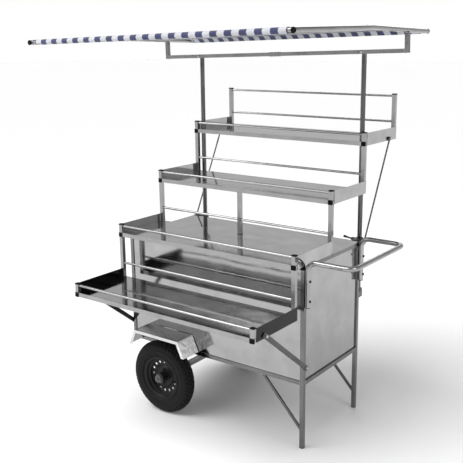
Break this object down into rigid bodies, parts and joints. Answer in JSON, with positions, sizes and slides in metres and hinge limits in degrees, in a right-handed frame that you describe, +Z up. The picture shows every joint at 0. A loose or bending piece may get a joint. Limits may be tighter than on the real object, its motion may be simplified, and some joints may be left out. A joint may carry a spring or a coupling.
{
  "type": "push vending cart",
  "caption": "Push cart for street sales: stepped display trays over a closed cabinet, with wheels, push handle and a striped canopy on height-adjustable poles.",
  "frame": {"origin": "on the floor, under the middle of the cart's outline seen from above", "axes": "+Z up from the floor, +X towards the push handle, -Y towards the customers, on the side of the lowest tray"},
  "size_m": [1.5895, 1.357, 2.0114],
  "materials": {
    "stainless_tube": "satin stainless tube",
    "mirror_sheet": "mirror-polished stainless sheet",
    "polished_rod": "polished",
    "bolt_steel": "satin",
    "black_plastic": "matt black",
    "clamp_black": "matt black, moulded",
    "clamp_grey": "zinc-plated, dull",
    "tyre": "matt black rubber",
    "rim": "black paint, semi-gloss",
    "hub": "dark grey paint",
    "bearing": "ground steel",
    "hub_cap": "grey, smooth",
    "fender": "satin stainless sheet",
    "canopy_pipe": "satin stainless pipe",
    "canopy_cloth": "striped woven canopy cloth"
  },
  "bodies": {
    "base": {"cart_frame": "stainless_tube", "leg_braces": "stainless_tube", "leg_feet": "black_plastic", "front_panel": "mirror_sheet", "left_panel": "mirror_sheet", "right_panel": "mirror_sheet", "floor_panel": "mirror_sheet", "table_top": "mirror_sheet", "door_tracks": "stainless_tube", "tray_sides": "mirror_sheet", "front_guard_rails": "polished_rod", "riser_posts": "stainless_tube", "back_rails": "polished_rod", "rear_guard": "stainless_tube", "centre_post": "stainless_tube", "tube_caps": "black_plastic", "tray_struts": "stainless_tube", "strut_bolts": "bolt_steel", "stay_rods": "polished_rod", "stay_bolts": "bolt_steel", "axle": "stainless_tube", "axle_hangers": "stainless_tube", "wheel_fenders": "fender", "push_handle": "stainless_tube", "handle_bolts": "bolt_steel", "pole_upper_clamps": "clamp_black", "pole_guides": "clamp_grey", "pole_lower_clamps": "clamp_grey", "tray_0_frame": "stainless_tube", "tray_0_floor": "mirror_sheet", "tray_1_frame": "stainless_tube", "tray_1_floor": "mirror_sheet", "tray_2_frame": "stainless_tube", "tray_2_floor": "mirror_sheet", "tray_3_frame": "stainless_tube", "tray_3_floor": "mirror_sheet"},
    "front_wheel": {"front_tyre": "tyre", "front_rim": "rim", "front_hub": "hub", "front_bearings": "bearing", "front_hub_cap": "hub_cap"},
    "rear_wheel": {"rear_tyre": "tyre", "rear_rim": "rim", "rear_hub": "hub", "rear_bearings": "bearing", "rear_hub_cap": "hub_cap"},
    "canopy": {"canopy_poles": "canopy_pipe", "crossbar_bolts": "bolt_steel", "canopy_crossbar": "canopy_pipe", "crossbar_sleeve": "canopy_pipe", "canopy_side_pipes": "canopy_pipe", "canopy_cross_pipes": "canopy_pipe", "canopy_caps": "black_plastic", "canopy_cloth": "canopy_cloth"},
    "lever_left": {"clamp_lever_left": "clamp_black"},
    "lever_right": {"clamp_lever_right": "clamp_black"},
    "wing_left": {"wing_screw_left": "clamp_grey"},
    "wing_right": {"wing_screw_right": "clamp_grey"},
    "door_left": {"rear_door_left": "mirror_sheet"},
    "door_right": {"rear_door_right": "mirror_sheet"}
  },
  "joints": [
    {"name": "front_wheel_spin", "type": "hinge", "parent": "base", "child": "front_wheel", "pos_m": [-0.28875, -0.3295, 0.198], "axis": [0, 1, 0], "continuous": true},
    {"name": "rear_wheel_spin", "type": "hinge", "parent": "base", "child": "rear_wheel", "pos_m": [-0.28875, 0.3745, 0.198], "axis": [0, 1, 0], "continuous": true},
    {"name": "canopy_height", "type": "slide", "parent": "base", "child": "canopy", "axis": [0, 0, 1], "range_m": [-0.3, 0]},
    {"name": "clamp_lever_left_turn", "type": "hinge", "parent": "base", "child": "lever_left", "pos_m": [-0.57505, 0.3555, 0.92], "axis": [1, 0, 0], "range_deg": [-90, 90]},
    {"name": "clamp_lever_right_turn", "type": "hinge", "parent": "base", "child": "lever_right", "pos_m": [0.46495, 0.3555, 0.92], "axis": [1, 0, 0], "range_deg": [-90, 90]},
    {"name": "wing_screw_left_turn", "type": "hinge", "parent": "base", "child": "wing_left", "pos_m": [-0.57505, 0.3555, 0.64], "axis": [1, 0, 0], "range_deg": [-180, 180]},
    {"name": "wing_screw_right_turn", "type": "hinge", "parent": "base", "child": "wing_right", "pos_m": [0.46495, 0.3555, 0.64], "axis": [1, 0, 0], "range_deg": [-180, 180]},
    {"name": "rear_door_left_slide", "type": "slide", "parent": "base", "child": "door_left", "axis": [1, 0, 0], "range_m": [0, 0.5]},
    {"name": "rear_door_right_slide", "type": "slide", "parent": "base", "child": "door_right", "axis": [-1, 0, 0], "range_m": [0, 0.5]}
  ]
}
